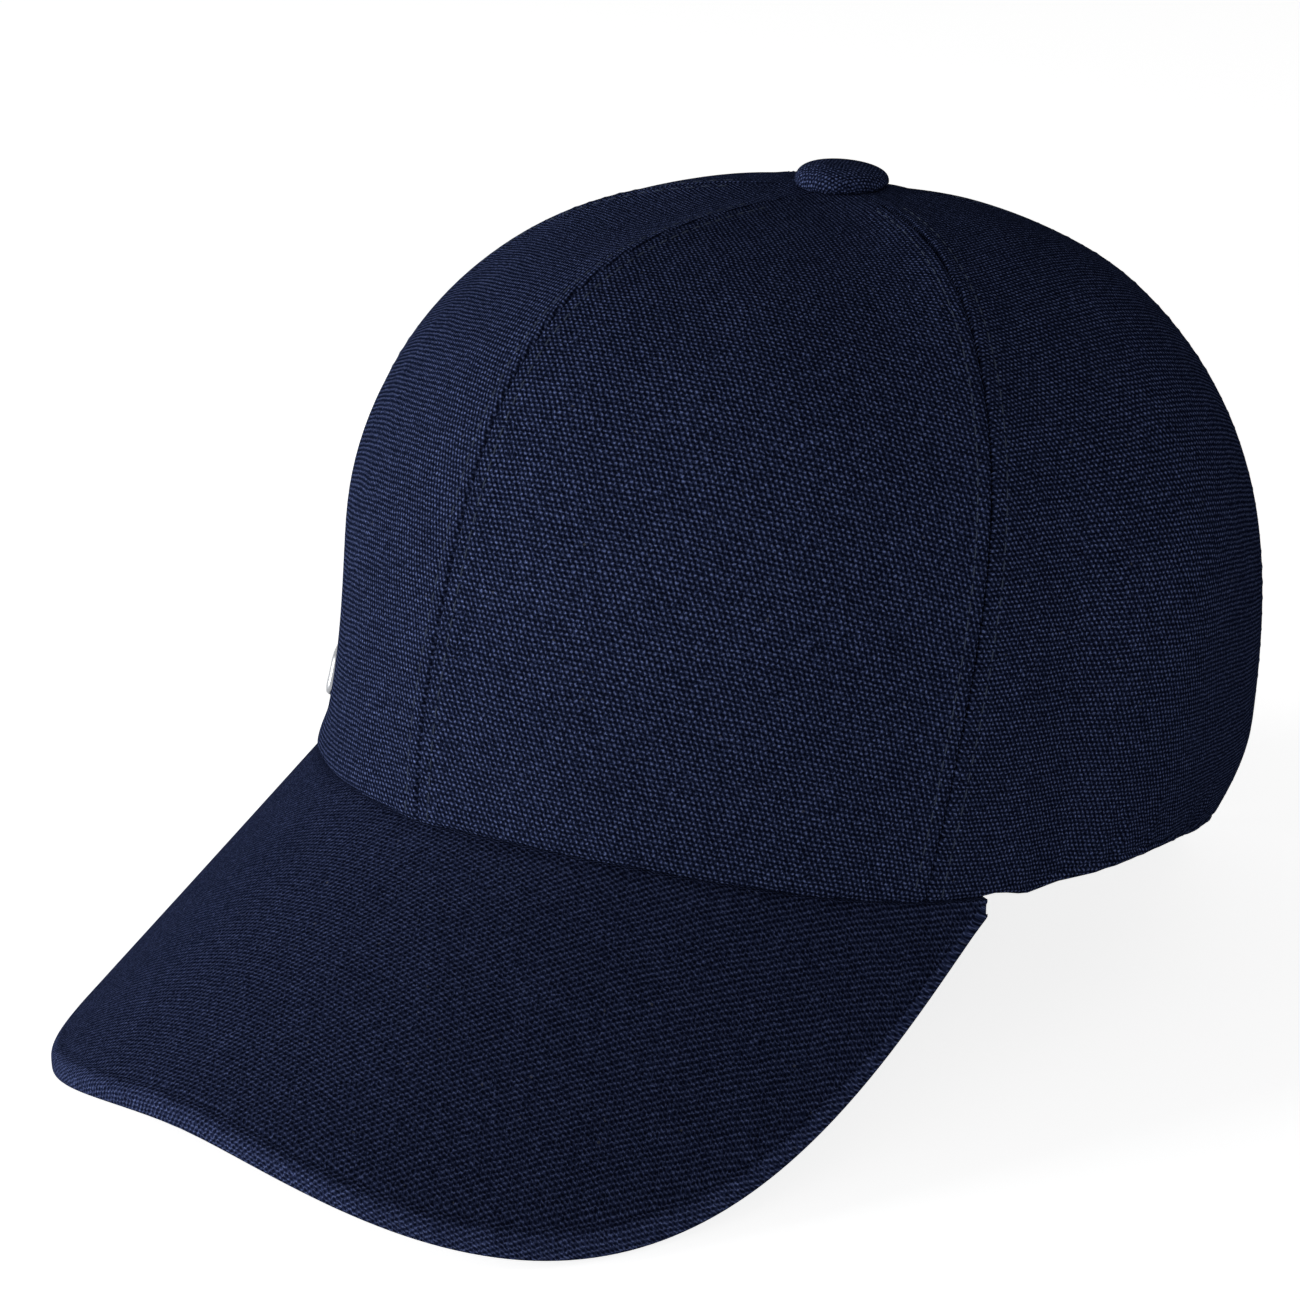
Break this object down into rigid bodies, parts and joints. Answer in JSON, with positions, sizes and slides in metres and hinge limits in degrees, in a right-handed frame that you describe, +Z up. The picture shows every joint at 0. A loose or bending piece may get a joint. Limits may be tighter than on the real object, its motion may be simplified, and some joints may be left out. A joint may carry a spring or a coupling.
{
  "type": "baseball cap",
  "caption": "Panelled canvas cap with a curved visor, covered top button, plain metal badge, sweatband and a rear strap held by a cam buckle.",
  "frame": {"origin": "middle of the bounding box, on the surface that the cap stands on", "axes": "+Z up, -Y ahead over the visor, +X towards the wearer's left"},
  "size_m": [0.1774, 0.2672, 0.1483],
  "materials": {
    "crown_canvas": "woven navy canvas",
    "visor_canvas": "woven navy canvas, laid flat",
    "button_canvas": "woven navy canvas, stretched",
    "strap_canvas": "woven navy canvas, folded",
    "tape_twill": "narrow navy twill tape",
    "sweatband_twill": "navy cotton twill",
    "buckram_net": "stiffened open net",
    "badge_felt": "dark felt",
    "visor_board_plastic": "plain board",
    "badge_metal": "polished",
    "button_steel": "plain pressed steel",
    "buckle_metal": "satin plated"
  },
  "bodies": {
    "cap": {"arch_binding": "tape_twill", "back_panel_left": "crown_canvas", "back_panel_right": "crown_canvas", "badge_pad": "badge_felt", "badge_plate": "badge_metal", "buckle_frame": "buckle_metal", "buckle_pin": "buckle_metal", "buckram_left": "buckram_net", "buckram_right": "buckram_net", "button_back": "button_steel", "button_cover": "button_canvas", "button_shell": "button_steel", "front_panel_left": "crown_canvas", "front_panel_right": "crown_canvas", "rear_strap": "strap_canvas", "seam_tape_back": "tape_twill", "seam_tape_front": "tape_twill", "seam_tape_front_left": "tape_twill", "seam_tape_front_right": "tape_twill", "seam_tape_rear_left": "tape_twill", "seam_tape_rear_right": "tape_twill", "side_panel_left": "crown_canvas", "side_panel_right": "crown_canvas", "strap_anchor": "strap_canvas", "sweatband": "sweatband_twill", "visor_board": "visor_board_plastic", "visor_top_cover": "visor_canvas", "visor_under_cover": "visor_canvas"},
    "lever": {"buckle_lever": "buckle_metal"}
  },
  "joints": [
    {"name": "lever_swing", "type": "hinge", "parent": "cap", "child": "lever", "pos_m": [-0.02157, 0.12621, 0.01178], "axis": [-0.0189, 0.0816, 0.9965], "range_deg": [0, 100]}
  ]
}
